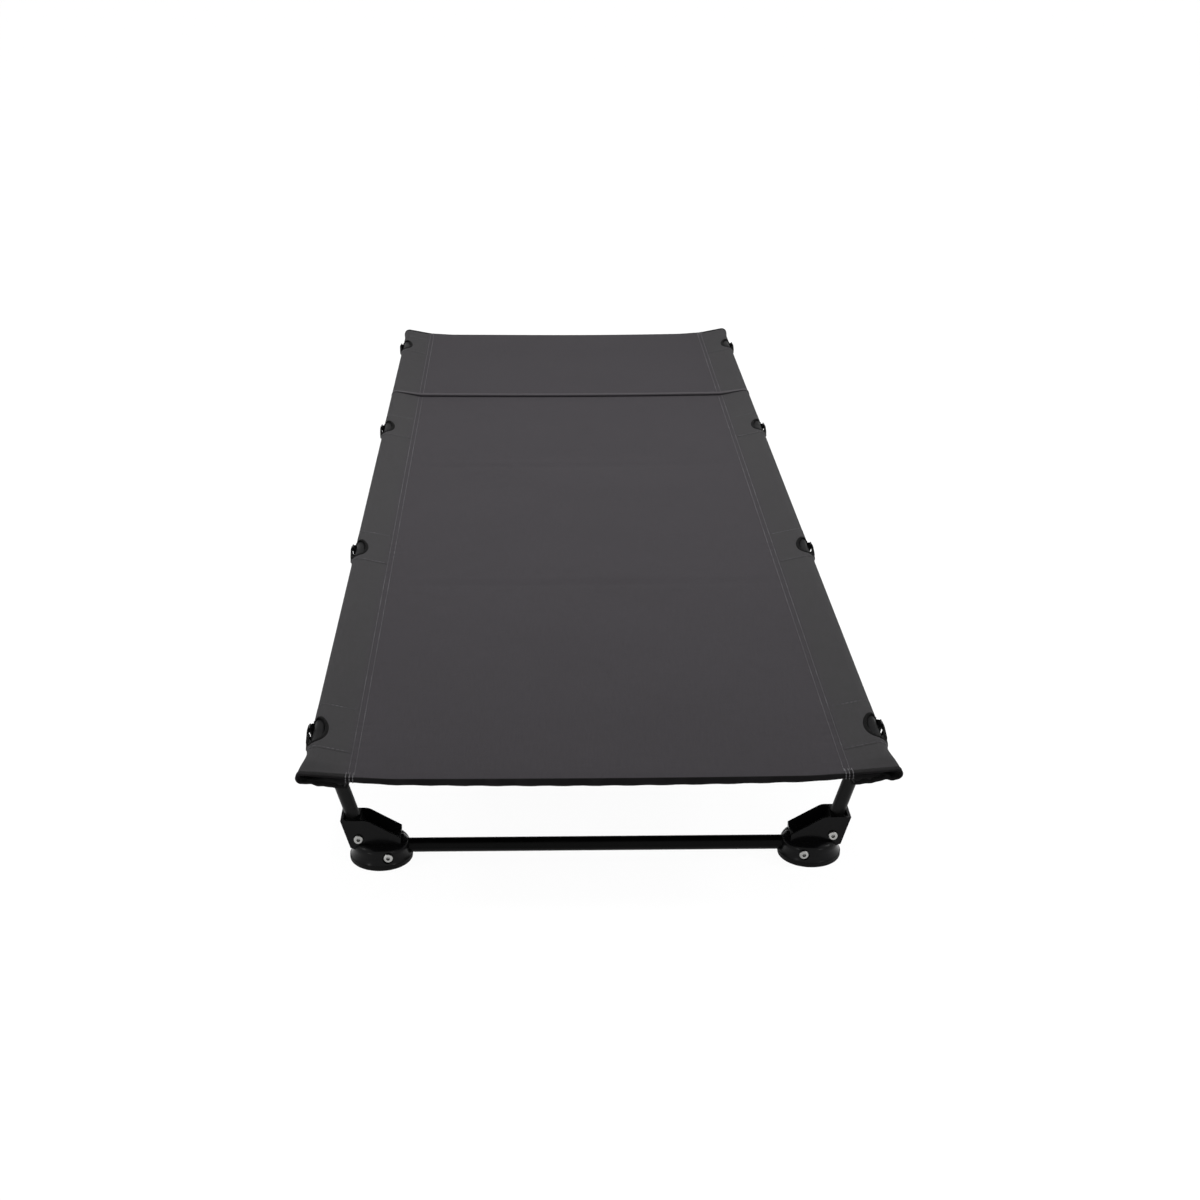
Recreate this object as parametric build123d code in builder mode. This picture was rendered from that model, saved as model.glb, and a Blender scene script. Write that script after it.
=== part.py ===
"""Low folding bed: a fabric sling on two jointed side rails, carried by four fold-up leg sets.

Frame: millimetres, +Z up, +X across the bed, +Y along it towards the head end.
The origin is on the floor, under the middle of the bed.
"""

import math
import os

from build123d import *

# Bed
bed_length = 1900.0  # cloth, end to end
rail_spacing = 600.0  # between the two rail axes
rail_height = 154.0  # rail axis above the floor
foot_end_inset = 112.0  # first leg set, from the foot end of the cloth
head_end_inset = 107.0  # fourth leg set, from the head end
foot_end_pitch = 571.0  # first to second leg set
head_end_pitch = 537.0  # third to fourth

# Tubes
tube_diameter = 16.0
tube_wall = 1.2
sections_per_rail = 4
ferrule_length = 80.0
ferrule_wall = 1.2
plug_clearance = 0.05  # radial, for what is pressed or slid into a tube
rail_end_inset = 28.0  # end cap, inside the end of the sleeve
cap_flange_length = 4.0
cap_plug_length = 18.0
cap_edge_radius = 1.5
cord_diameter = 3.0
cord_hole_diameter = 3.6
knot_diameter = 6.4
knot_length = 5.0
knot_recess_diameter = 8.0
knot_recess_depth = 7.0

# Sling
cloth_thickness = 1.0
sleeve_clearance = 0.3  # between the rail and its sleeve
sleeve_width = 50.0  # outer edge to the stitch line
notch_length = 68.0  # half-moon notch in the upper layer, along the bed
notch_depth = 18.0  # from the outer edge
notch_offset = 11.0  # from the leg set's middle towards the foot end
slot_length = 48.0  # in the lower layer, where the arm comes through
slot_depth = 36.0  # from the outer edge
mouth_length = 25.0  # of each sleeve end, drawn flat past the rail
mouth_height = 10.0
mouth_flare = 6.0  # how far the flat end stands out past the sleeve
seam_from_head = 448.0  # cross seam between the two panels
seam_height = 5.0  # how far the seam stands up on the sheet
seam_height_on_sleeve = 2.0
seam_width = 2.5
binding_width = 2.5  # along the bed
binding_band = 2.2  # thickness of the tape round a sleeve's mouth
binding_drop = 8.5  # depth of the tape along the end of the sheet

# Foot
foot_spacing = 478.0
pad_diameter = 70.0
pad_height = 6.3
pad_floor = 4.0
pad_lip = 1.3
pad_edge_radius = 2.5
pad_clearance = 0.1
base_height = 25.0  # top of the round base above the floor
base_waist_diameter = 64.5
base_foot_diameter = 68.8
base_waist_height = 15.0
base_shoulder_radius = 8.0
cross_tube_height = 14.5  # cross tube axis above the floor
cross_tube_inset = 2.0  # tube end, inboard of the foot's middle
socket_clearance = 0.1
socket_end_gap = 0.5
tube_bolt_inset = 9.5  # inboard of the foot's middle
collar_diameter = 26.0
collar_reach = 30.0  # inboard of the foot's middle
collar_chamfer = 4.5

# Bracket on the foot, and the arm that turns in it
pivot_reach = 23.5  # outboard of the foot's middle
pivot_height = 31.0
cheek_thickness = 3.2
cheek_top = 53.0
cheek_bend_reach = 14.0  # where the cheek's top edge starts to fall
cheek_inner_reach = 22.6  # inboard end of the cheeks
cheek_inner_top = 31.5
cheek_inner_bottom = 12.0
cheek_bend_radius = 16.0
cheek_corner_radius = 2.5
web_thickness = 2.8
web_foot_height = 20.0
knuckle_width = 25.0  # along the bed, between the cheeks
knuckle_thickness = 18.0
knuckle_length = 22.0  # from the pivot to its upper end
knuckle_gap = 0.4  # to the cheeks, the web and the base
knuckle_edge = 1.5
tube_seat = 9.0  # lower end of the arm tube, from the pivot
fold_rest = 9.0  # degrees above level at which the folded arm lies over the cross tube

# Clip
clip_clearance = 0.3  # between the rail and its cradle
clip_wall = 3.5
clip_width = 20.0
clip_neck = 3.0  # between the cradle and the tube end
clip_neck_diameter = 18.0
clip_spigot_length = 18.0
clip_outer_lip = 10.0
clip_lip_tip = 1.6  # thickness of the outer lip at its tip
clip_lead_in = 0.5  # by which the outer lip opens towards its tip
clip_lip_width = 11.0  # of the outer lip, along the bed, on the head-end side
clip_inner_lip = 0.5
leg_drop = 600.0  # drop of a leg set in which its arms fold right in

# Bolts
bolt_diameter = 6.0
bolt_clearance = 0.05
bolt_head_diameter = 10.5
bolt_head_height = 3.3
bolt_head_round = 1.6
hex_socket_width = 4.0
hex_socket_depth = 2.0
nut_width = 10.0
nut_height = 5.0
bolt_end = 1.5  # thread past the nut
spot_face_diameter = 12.4
spot_face_depth_at = 28.9  # flat under head and nut, from the foot's middle

# Sizes that follow
rail_x = rail_spacing / 2
foot_x = foot_spacing / 2
tube_radius = tube_diameter / 2
tube_bore = tube_radius - tube_wall
plug_radius = tube_bore - plug_clearance
rail_length = bed_length - 2 * (rail_end_inset + cap_flange_length)
section_length = rail_length / sections_per_rail
sleeve_bore = tube_radius + sleeve_clearance
sleeve_radius = sleeve_bore + cloth_thickness
sleeve_edge = rail_x + sleeve_radius
stitch_x = sleeve_edge - sleeve_width
sleeve_taper = math.asin(sleeve_bore / (rail_x - stitch_x))
mouth_radius = mouth_height / 2
mouth_bore = mouth_radius - cloth_thickness
mouth_x = sleeve_edge + mouth_flare - mouth_radius
mouth_taper = math.asin(mouth_bore / (mouth_x - stitch_x))
seam_y = bed_length / 2 - seam_from_head
panel_end = bed_length / 2 - binding_width
mouth_start = panel_end - mouth_length
cap_end = bed_length / 2 - rail_end_inset
leg_set_positions = (
    -bed_length / 2 + foot_end_inset,
    -bed_length / 2 + foot_end_inset + foot_end_pitch,
    bed_length / 2 - head_end_inset - head_end_pitch,
    bed_length / 2 - head_end_inset,
)
arm_run = rail_x - foot_x - pivot_reach
arm_rise = rail_height - pivot_height
arm_length = math.hypot(arm_run, arm_rise)
arm_lean = math.degrees(math.atan2(arm_run, arm_rise))
fold_angle = 90 + arm_lean - fold_rest
cheek_gap = knuckle_width + 2 * knuckle_gap
bracket_width = cheek_gap + 2 * cheek_thickness
cradle_bore = tube_radius + clip_clearance
cradle_radius = cradle_bore + clip_wall
arm_tube_end = arm_length - cradle_radius - clip_neck
bolt_hole_radius = bolt_diameter / 2 + bolt_clearance

# The clip follows the set down while it swings in, so the rail leaves it along a slanted line.
swing_per_drop = arm_length * math.radians(fold_angle) / leg_drop
exit_out = swing_per_drop * math.cos(math.radians(arm_lean))
exit_up = 1 - swing_per_drop * math.sin(math.radians(arm_lean))
clip_mouth_lean = math.degrees(math.atan2(exit_out, exit_up))

pivot = Vector(foot_x + pivot_reach, 0, pivot_height)
rail_point = Vector(rail_x, 0, rail_height)
arm_axis = (rail_point - pivot).normalized()

# Directions, and sketch planes in the leg's own plane, across and along the arm, and at the clip's mouth
leg_plane = Plane(origin=(0, 0, 0), x_dir=(1, 0, 0), z_dir=(0, -1, 0))
arm_plane = Plane(origin=pivot, x_dir=(0, 1, 0), z_dir=arm_axis)
arm_side_plane = Plane(origin=pivot, x_dir=arm_axis, z_dir=(0, -1, 0))
clip_mouth_axis = Vector(0, 0, 1).rotate(Axis.Y, clip_mouth_lean)
clip_mouth_plane = Plane(origin=rail_point, x_dir=clip_mouth_axis, z_dir=(0, -1, 0))
clip_lip_plane = clip_mouth_plane.offset(clip_lip_width - clip_width / 2)
fold_axis = Vector(-math.cos(math.radians(fold_rest)), 0, math.sin(math.radians(fold_rest)))

os.makedirs("parts", exist_ok=True)


def save(shape, name):
    """Label a finished piece and write it."""
    shape.label = name
    export_step(shape, f"parts/{name}.step")


def at_leg_set(shape, position):
    """A copy of a leg piece, moved along the bed."""
    return shape.moved(Location((0, position, 0)))


def section_plane(y):
    """A plane across the bed at y, with +X to its right and +Z up it."""
    return Plane(origin=(0, y, 0), x_dir=(1, 0, 0), z_dir=(0, -1, 0))


def sleeve_outline(side, radius, middle=rail_x, taper=sleeve_taper, mode=Mode.ADD):
    """Round its middle and drawn to a point at the stitch line, in the sketch that is open."""
    point = (side * (middle - radius / math.sin(taper)), rail_height)
    outer = (side * (middle + radius), rail_height)
    with BuildLine() as outline:
        for up in (-1, 1):
            touch = (
                side * (middle - radius * math.sin(taper)),
                rail_height + up * radius * math.cos(taper),
            )
            along = (side * math.cos(taper), up * math.sin(taper))
            Line(point, touch)
            TangentArc(touch, outer, tangent=along)
    make_face(outline.edges(), mode=mode)


def sleeve_mouth(side, end):
    """The last stretch of one sleeve, from round to flat, at one end of the bed."""
    with BuildPart() as mouth:
        for radius, end_radius, mode in (
            (sleeve_radius, mouth_radius, Mode.ADD),
            (sleeve_bore, mouth_bore, Mode.SUBTRACT),
        ):
            with BuildSketch(section_plane(end * mouth_start)):
                sleeve_outline(side, radius)
            with BuildSketch(section_plane(end * panel_end)):
                sleeve_outline(side, end_radius, mouth_x, mouth_taper)
            loft(mode=mode)
    return mouth.part


def sling_panel(end, with_seam=False):
    """Sheet and both sleeves from the cross seam to one end of the bed, notched over the legs."""
    length = abs(end * panel_end - seam_y)
    mouths = [sleeve_mouth(side, end) for side in (-1, 1)]
    with BuildPart() as panel:
        with BuildSketch(section_plane(seam_y)):
            with Locations((0, rail_height)):
                Rectangle(2 * stitch_x, cloth_thickness)
        extrude(amount=-end * length)
        with BuildSketch(section_plane(seam_y)):
            for side in (-1, 1):
                sleeve_outline(side, sleeve_radius)
        extrude(amount=-end * (length - mouth_length))
        if with_seam:
            with BuildSketch(section_plane(seam_y)):
                with Locations((0, rail_height + seam_height / 2)):
                    Rectangle(2 * stitch_x, seam_height + cloth_thickness)
                for side in (-1, 1):
                    sleeve_outline(side, sleeve_radius + seam_height_on_sleeve)
                with Locations((0, rail_height - sleeve_radius)):
                    Rectangle(2 * rail_spacing, 2 * sleeve_radius, mode=Mode.SUBTRACT)
            extrude(amount=-seam_width)
        with BuildSketch(section_plane(seam_y)):
            for side in (-1, 1):
                sleeve_outline(side, sleeve_bore)
        extrude(amount=-end * (length - mouth_length), mode=Mode.SUBTRACT)
        add(mouths)
        leg_places = [y for y in leg_set_positions if end * y > end * seam_y]
        for depth, along, offset, reach in (
            (notch_depth, notch_length, notch_offset, 1),
            (slot_depth, slot_length, 0, -1),
        ):
            spots = [(side * sleeve_edge, y - offset) for side in (-1, 1) for y in leg_places]
            with BuildSketch(Plane.XY.offset(rail_height)):
                with Locations(*spots):
                    Ellipse(depth, along / 2)
            extrude(amount=reach * 2 * sleeve_radius, mode=Mode.SUBTRACT)
    return panel.part


# Sling
save(sling_panel(-1), "sling_main_panel")
save(sling_panel(1, with_seam=True), "sling_head_panel")

with BuildPart() as end_bindings:
    for end in (-1, 1):
        with BuildSketch(section_plane(end * panel_end)):
            for side in (-1, 1):
                sleeve_outline(side, mouth_bore + binding_band, mouth_x, mouth_taper)
            with Locations((0, rail_height + binding_band / 2 - binding_drop / 2)):
                Rectangle(2 * stitch_x, binding_drop)
            for side in (-1, 1):
                sleeve_outline(side, mouth_bore, mouth_x, mouth_taper, mode=Mode.SUBTRACT)
        extrude(amount=-end * binding_width)
save(end_bindings.part, "end_bindings")

# Rails
for side_name, side in (("left", -1), ("right", 1)):
    for number in range(sections_per_rail):
        start = -rail_length / 2 + number * section_length
        with BuildPart() as rail_section:
            with BuildSketch(section_plane(start)):
                with Locations((side * rail_x, rail_height)):
                    Circle(tube_radius)
                    Circle(tube_bore, mode=Mode.SUBTRACT)
            extrude(amount=-section_length)
        save(rail_section.part, f"{side_name}_rail_section_{number + 1}")

with BuildPart() as rail_ferrules:
    for number in range(1, sections_per_rail):
        middle = -rail_length / 2 + number * section_length
        with BuildSketch(section_plane(middle - ferrule_length / 2)):
            with Locations((-rail_x, rail_height), (rail_x, rail_height)):
                Circle(plug_radius)
                Circle(plug_radius - ferrule_wall, mode=Mode.SUBTRACT)
        extrude(amount=-ferrule_length)
save(rail_ferrules.part, "rail_ferrules")

with BuildPart() as rail_end_caps:
    for end in (-1, 1):
        outer_face = section_plane(end * cap_end)
        spots = [(-rail_x, rail_height), (rail_x, rail_height)]
        with BuildSketch(outer_face):
            with Locations(*spots):
                Circle(tube_radius)
        extrude(amount=end * cap_flange_length)
        with BuildSketch(outer_face):
            with Locations(*spots):
                Circle(plug_radius)
        extrude(amount=end * (cap_flange_length + cap_plug_length))
        with BuildSketch(outer_face):
            with Locations(*spots):
                Circle(knot_recess_diameter / 2)
        extrude(amount=end * knot_recess_depth, mode=Mode.SUBTRACT)
        with BuildSketch(outer_face):
            with Locations(*spots):
                Circle(cord_hole_diameter / 2)
        extrude(amount=end * (cap_flange_length + cap_plug_length), mode=Mode.SUBTRACT)
    end_faces = rail_end_caps.faces().sort_by(Axis.Y)
    for face in end_faces[:2] + end_faces[-2:]:
        fillet(face.outer_wire().edges(), cap_edge_radius)
save(rail_end_caps.part, "rail_end_caps")

knot_seat = cap_end - knot_recess_depth
with BuildPart() as shock_cords:
    with BuildSketch(section_plane(-knot_seat)):
        with Locations((-rail_x, rail_height), (rail_x, rail_height)):
            Circle(cord_diameter / 2)
    extrude(amount=-2 * knot_seat)
    for end in (-1, 1):
        with BuildSketch(section_plane(end * knot_seat)):
            with Locations((-rail_x, rail_height), (rail_x, rail_height)):
                Circle(knot_diameter / 2)
        extrude(amount=-end * knot_length)
save(shock_cords.part, "shock_cords")

# Cross tube
tube_end_x = foot_x - cross_tube_inset
bolt_x = foot_x - tube_bolt_inset
with BuildPart() as cross_tube:
    with BuildSketch(Plane.YZ.offset(-tube_end_x)):
        with Locations((0, cross_tube_height)):
            Circle(tube_radius)
            Circle(tube_bore, mode=Mode.SUBTRACT)
    extrude(amount=2 * tube_end_x)
    with BuildSketch(leg_plane):
        with Locations((-bolt_x, cross_tube_height), (bolt_x, cross_tube_height)):
            Circle(bolt_hole_radius)
    extrude(amount=tube_diameter, both=True, mode=Mode.SUBTRACT)

# Rubber pad: a shallow cup round the lower edge of the base
with BuildPart() as pad:
    with BuildSketch(leg_plane):
        with BuildLine():
            Polyline(
                (foot_x, 0),
                (foot_x + pad_diameter / 2, 0),
                (foot_x + pad_diameter / 2, pad_height),
                (foot_x + pad_diameter / 2 - pad_lip, pad_height),
                (foot_x + pad_diameter / 2 - pad_lip, pad_floor),
                (foot_x, pad_floor),
                close=True,
            )
        make_face()
    revolve(axis=Axis((foot_x, 0, 0), (0, 0, 1)))
    fillet(pad.edges().group_by(Axis.Z)[0], pad_edge_radius)

# Foot: round base, two cheeks with a stop web between them, and a socket for the cross tube
web_outside = knuckle_thickness / 2 + knuckle_gap + web_thickness
outward = Vector(arm_axis.Z, 0, -arm_axis.X)
web_point = pivot + outward * web_outside
web_slope = arm_axis.X / arm_axis.Z
seat_radius = pad_diameter / 2 - pad_lip - pad_clearance
with BuildPart() as foot:
    with BuildSketch(leg_plane):
        with BuildLine():
            Line((foot_x, pad_floor), (foot_x + seat_radius, pad_floor))
            Line((foot_x + seat_radius, pad_floor), (foot_x + seat_radius, pad_height))
            Line((foot_x + seat_radius, pad_height), (foot_x + base_foot_diameter / 2, pad_height))
            flare = TangentArc(
                (foot_x + base_waist_diameter / 2, base_waist_height),
                (foot_x + base_foot_diameter / 2, pad_height),
                tangent=(0, -1),
            )
            Line(flare @ 0, (foot_x + base_waist_diameter / 2, base_height))
            Line((foot_x + base_waist_diameter / 2, base_height), (foot_x, base_height))
            Line((foot_x, base_height), (foot_x, pad_floor))
        make_face()
    revolve(axis=Axis((foot_x, 0, 0), (0, 0, 1)))
    fillet(foot.edges().group_by(Axis.Z)[-1], base_shoulder_radius)
    with BuildSketch(leg_plane):
        with BuildLine():
            Polyline(
                (web_point.X + (web_foot_height - web_point.Z) * web_slope, web_foot_height),
                (web_point.X + (cheek_top - web_point.Z) * web_slope, cheek_top),
                (foot_x + cheek_bend_reach, cheek_top),
                (foot_x - cheek_inner_reach, cheek_inner_top),
                (foot_x - cheek_inner_reach, cheek_inner_bottom),
                (foot_x + cheek_bend_reach, cheek_inner_bottom),
                close=True,
            )
        outline = make_face()
        upper = outline.vertices().group_by(Axis.Y)[-1].sort_by(Axis.X)
        inner = outline.vertices().group_by(Axis.X)[0].sort_by(Axis.Y)
        fillet(upper[0], cheek_bend_radius)
        fillet([upper[-1], inner[-1]], cheek_corner_radius)
    extrude(amount=bracket_width / 2, both=True)
    with BuildSketch(leg_plane):
        with BuildLine():
            Polyline(
                (foot_x, cross_tube_height),
                (foot_x, cross_tube_height + collar_diameter / 2),
                (foot_x - collar_reach + collar_chamfer, cross_tube_height + collar_diameter / 2),
                (foot_x - collar_reach, cross_tube_height + collar_diameter / 2 - collar_chamfer),
                (foot_x - collar_reach, cross_tube_height),
                close=True,
            )
        make_face()
    revolve(axis=Axis((0, 0, cross_tube_height), (1, 0, 0)))
    split(bisect_by=Plane.XY.offset(pad_floor), keep=Keep.TOP)
    # room for the knuckle and the folded arm, between the cheeks
    with BuildSketch(leg_plane):
        with BuildLine():
            swing = knuckle_thickness / 2 + knuckle_gap
            lie = tube_radius + knuckle_gap
            below = Vector(-fold_axis.Z, 0, fold_axis.X)
            web_top = pivot + outward * swing + arm_axis * arm_length / 2
            web_touch = pivot + outward * swing
            swing_low = pivot + (outward + below).normalized() * swing
            fold_touch = pivot + below * swing
            step_low = pivot + below * swing + fold_axis * (knuckle_length + knuckle_gap)
            step_high = pivot + below * lie + fold_axis * (knuckle_length + knuckle_gap)
            inner_end = pivot + below * lie + fold_axis * arm_length / 2
            Line((web_top.X, web_top.Z), (web_touch.X, web_touch.Z))
            ThreePointArc(
                (web_touch.X, web_touch.Z), (swing_low.X, swing_low.Z), (fold_touch.X, fold_touch.Z)
            )
            Polyline(
                (fold_touch.X, fold_touch.Z),
                (step_low.X, step_low.Z),
                (step_high.X, step_high.Z),
                (inner_end.X, inner_end.Z),
                (inner_end.X, web_top.Z),
                (web_top.X, web_top.Z),
            )
        make_face()
    extrude(amount=cheek_gap / 2, both=True, mode=Mode.SUBTRACT)
    # socket for the cross tube
    with BuildSketch(Plane.YZ.offset(tube_end_x + socket_end_gap)):
        with Locations((0, cross_tube_height)):
            Circle(tube_radius + socket_clearance)
    extrude(amount=-2 * collar_reach, mode=Mode.SUBTRACT)
    # bolt holes, and the flats under the tube bolt's head and nut
    with BuildSketch(leg_plane):
        with Locations((foot_x + pivot_reach, pivot_height), (bolt_x, cross_tube_height)):
            Circle(bolt_hole_radius)
    extrude(amount=pad_diameter, both=True, mode=Mode.SUBTRACT)
    for end in (-1, 1):
        with BuildSketch(section_plane(end * spot_face_depth_at)):
            with Locations((bolt_x, cross_tube_height)):
                Circle(spot_face_diameter / 2)
        extrude(amount=-end * pad_diameter, mode=Mode.SUBTRACT)

# Knuckle: a rounded tongue on the pivot bolt, with a socket for the arm tube
with BuildPart() as knuckle:
    with BuildSketch(arm_side_plane):
        Circle(knuckle_thickness / 2)
        with Locations((knuckle_length / 2, 0)):
            Rectangle(knuckle_length, knuckle_thickness)
    extrude(amount=knuckle_width / 2, both=True)
    top_edges = knuckle.faces().sort_by(Axis(pivot, arm_axis))[-1].edges()
    chamfer(top_edges.filter_by(Axis.Y), knuckle_edge / 2)
    with BuildSketch(arm_plane.offset(tube_seat)):
        Circle(tube_radius + plug_clearance)
    extrude(amount=knuckle_length, mode=Mode.SUBTRACT)
    with BuildSketch(arm_side_plane):
        Circle(bolt_hole_radius)
    extrude(amount=knuckle_width, both=True, mode=Mode.SUBTRACT)

# Arm tube
with BuildPart() as arm_tube:
    with BuildSketch(arm_plane.offset(tube_seat)):
        Circle(tube_radius)
        Circle(tube_bore, mode=Mode.SUBTRACT)
    extrude(amount=arm_tube_end - tube_seat)

# Clip: a cradle under the rail, open along the line by which the rail leaves it
with BuildPart() as clip:
    with BuildSketch(clip_mouth_plane):
        Circle(cradle_radius)
        with Locations((cradle_radius / 2, 0)):
            Rectangle(cradle_radius, 2 * cradle_radius, mode=Mode.SUBTRACT)
        with Locations((clip_inner_lip / 2, cradle_bore + clip_wall / 2)):
            Rectangle(clip_inner_lip, clip_wall)
    extrude(amount=clip_width / 2, both=True)
    with BuildSketch(clip_lip_plane):
        Polygon(
            (0, -cradle_bore),
            (0, -cradle_radius),
            (clip_outer_lip, -cradle_bore - clip_lead_in - clip_lip_tip),
            (clip_outer_lip, -cradle_bore - clip_lead_in),
            align=None,
        )
    extrude(amount=-clip_lip_width)
    with BuildSketch(arm_plane.offset(arm_tube_end)):
        Circle(clip_neck_diameter / 2)
    extrude(amount=clip_neck + cradle_radius - tube_radius)
    with BuildSketch(arm_plane.offset(arm_tube_end - clip_spigot_length)):
        Circle(plug_radius)
    extrude(amount=clip_spigot_length + clip_neck)
    with BuildSketch(clip_mouth_plane):
        Circle(cradle_bore)
        with Locations((cradle_radius, 0)):
            Rectangle(2 * cradle_radius, 2 * cradle_bore)
    extrude(amount=clip_width, both=True, mode=Mode.SUBTRACT)


def bolt(x, z, grip):
    """Button-head bolt along the bed, its head seated at -grip and its nut at +grip."""
    with BuildPart() as piece:
        with BuildSketch(section_plane(-grip)):
            with Locations((x, z)):
                Circle(bolt_head_diameter / 2)
        extrude(amount=bolt_head_height)
        fillet(piece.faces().sort_by(Axis.Y)[0].edges(), bolt_head_round)
        with BuildSketch(section_plane(-grip - bolt_head_height)):
            with Locations((x, z)):
                RegularPolygon(hex_socket_width / 2, 6, major_radius=False)
        extrude(amount=-hex_socket_depth, mode=Mode.SUBTRACT)
        with BuildSketch(section_plane(-grip)):
            with Locations((x, z)):
                Circle(bolt_diameter / 2)
        extrude(amount=-(2 * grip + nut_height + bolt_end))
    return piece.part


def nut(x, z, grip):
    """Hexagon nut on the far end of a bolt."""
    with BuildPart() as piece:
        with BuildSketch(section_plane(grip)):
            with Locations((x, z)):
                RegularPolygon(nut_width / 2, 6, major_radius=False)
                Circle(bolt_hole_radius, mode=Mode.SUBTRACT)
        extrude(amount=-nut_height)
    return piece.part


bolt_places = [
    (side * x, z, grip)
    for side in (-1, 1)
    for x, z, grip in (
        (foot_x + pivot_reach, pivot_height, bracket_width / 2),
        (bolt_x, cross_tube_height, spot_face_depth_at),
    )
]
foot_bolts = Compound([make(*place) for place in bolt_places for make in (bolt, nut)])
pads = Compound([pad.part, pad.part.mirror(Plane.YZ)])

# The four leg sets
for number, position in enumerate(leg_set_positions, start=1):
    save(at_leg_set(cross_tube.part, position), f"cross_tube_{number}")
    save(at_leg_set(pads, position), f"foot_pads_{number}")
    save(at_leg_set(foot_bolts, position), f"foot_bolts_{number}")
    for name, piece in (("foot", foot), ("knuckle", knuckle), ("arm_tube", arm_tube), ("clip", clip)):
        save(at_leg_set(piece.part, position), f"right_{name}_{number}")
        save(at_leg_set(piece.part.mirror(Plane.YZ), position), f"left_{name}_{number}")

print(f"arm lean {arm_lean:.3f} deg, arm fold {fold_angle:.3f} deg, mouth lean {clip_mouth_lean:.2f} deg")
print(f"pivot x {pivot.X:.3f}, z {pivot.Z:.3f}, arm length {arm_length:.2f}")
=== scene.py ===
"""Dressing for a low folding bed: its cloth, tapes, stitching and finishes, with studio light and a camera.

Metres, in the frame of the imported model: +X across the bed, +Y along it to the head end, +Z up.
"""

import math

import bmesh
import bpy
import numpy as np
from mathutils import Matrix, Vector


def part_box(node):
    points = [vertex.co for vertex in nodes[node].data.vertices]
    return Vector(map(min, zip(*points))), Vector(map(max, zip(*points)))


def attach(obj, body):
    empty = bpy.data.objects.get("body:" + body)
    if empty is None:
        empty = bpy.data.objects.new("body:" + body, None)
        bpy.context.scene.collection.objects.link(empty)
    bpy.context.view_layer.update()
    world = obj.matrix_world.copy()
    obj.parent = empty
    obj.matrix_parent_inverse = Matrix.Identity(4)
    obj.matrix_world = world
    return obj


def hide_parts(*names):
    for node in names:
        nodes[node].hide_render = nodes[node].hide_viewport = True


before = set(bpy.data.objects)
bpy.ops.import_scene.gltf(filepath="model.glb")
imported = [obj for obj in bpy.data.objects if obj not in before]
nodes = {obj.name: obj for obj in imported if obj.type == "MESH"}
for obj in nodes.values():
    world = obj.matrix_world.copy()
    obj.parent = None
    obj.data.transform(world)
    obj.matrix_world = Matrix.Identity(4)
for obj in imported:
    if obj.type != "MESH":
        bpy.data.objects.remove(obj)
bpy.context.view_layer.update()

sides = (("left", -1), ("right", 1))
ends = (-1, 1)  # foot and head

# Places from the frame
rail_low, rail_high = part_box("right_rail_section_1")
rail_x = (rail_low.x + rail_high.x) / 2
rail_z = (rail_low.z + rail_high.z) / 2
rail_radius = (rail_high.x - rail_low.x) / 2
seam_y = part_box("sling_head_panel")[0].y
bed_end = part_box("end_bindings")[1].y
leg_places = [sum(corner.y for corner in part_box(f"cross_tube_{k}")) / 2 for k in range(1, 5)]

# Cloth and sleeves
cloth_thick = 0.0009
rail_to_cloth = 0.0008  # from the rail's surface to the middle of the cloth round it
sleeve_width = 0.050  # outer edge to the stitch line
flap_width = 0.009  # turned-in edge under the sheet, inboard of the stitch line
flap_gap = 0.0012
sleeve_radius = rail_radius + rail_to_cloth
sleeve_edge = rail_x + sleeve_radius
stitch_x = sleeve_edge + cloth_thick / 2 - sleeve_width

# Rows and columns of the cloth's mesh: shares of the way over the rail, back under it and across the flap
sheet_columns = 30
upper_shares = np.concatenate([np.linspace(0, 0.70, 7, endpoint=False), np.linspace(0.70, 1, 10)])
lower_shares = np.concatenate([np.linspace(0, 0.32, 8, endpoint=False), np.linspace(0.32, 1, 7)])
flap_shares = np.array([0.5, 1.0])
row_step = 0.012
end_row_step = 0.003
end_rows = 0.045  # stretch of closer rows at each end of the bed
end_inset = 0.0012  # edge of the cloth, inside the tape at the bed's end
weld_gap = 0.00001  # points closer than this are one
smooth_angle = math.radians(50)

# Notches in the upper layer over the legs, and the slot below for each arm
notch_half = 0.0315  # half the length along the bed, as slot_half and patch_half
notch_depth = 0.0155
notch_offset = 0.011  # from the leg set's middle towards the foot end
notch_row_count = 33
slot_half = 0.0163
slot_offset = 0.0057  # from the leg set's middle towards the head end
slot_run = 0.036
slot_row_count = 25
notch_front = -notch_offset - notch_half
slot_front = slot_offset - slot_half
slot_back = slot_offset + slot_half

# The strip of cloth that stands out in front of each slot
strip_rise = 0.003  # top of the strip above the outer edge
strip_bulge = 0.0042
strip_lead = 0.014  # before the notch, where the strip starts to stand out
strip_lead_run = 0.016
strip_fade = 0.020  # past the slot's front, until it lies on the rail again
strip_reach = 0.009  # of the bulge, round the section
strip_corner = 0.0028  # round of its free end
corner_row_count = 6

# The tape that goes on from the strip, outside the clip, to the notch's head end
strap_bulge = 0.0054
strap_height = 0.0065
strap_half = 0.0008
strap_start = -0.030  # from the leg set's middle, as the next two
strap_turn = 0.012
strap_end = 0.0225
strap_run = 0.040  # from the notch's foot end to where the strap is furthest out
strap_first = 0.5  # share of the bulge at the notch's foot end
strap_points = 42

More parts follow.
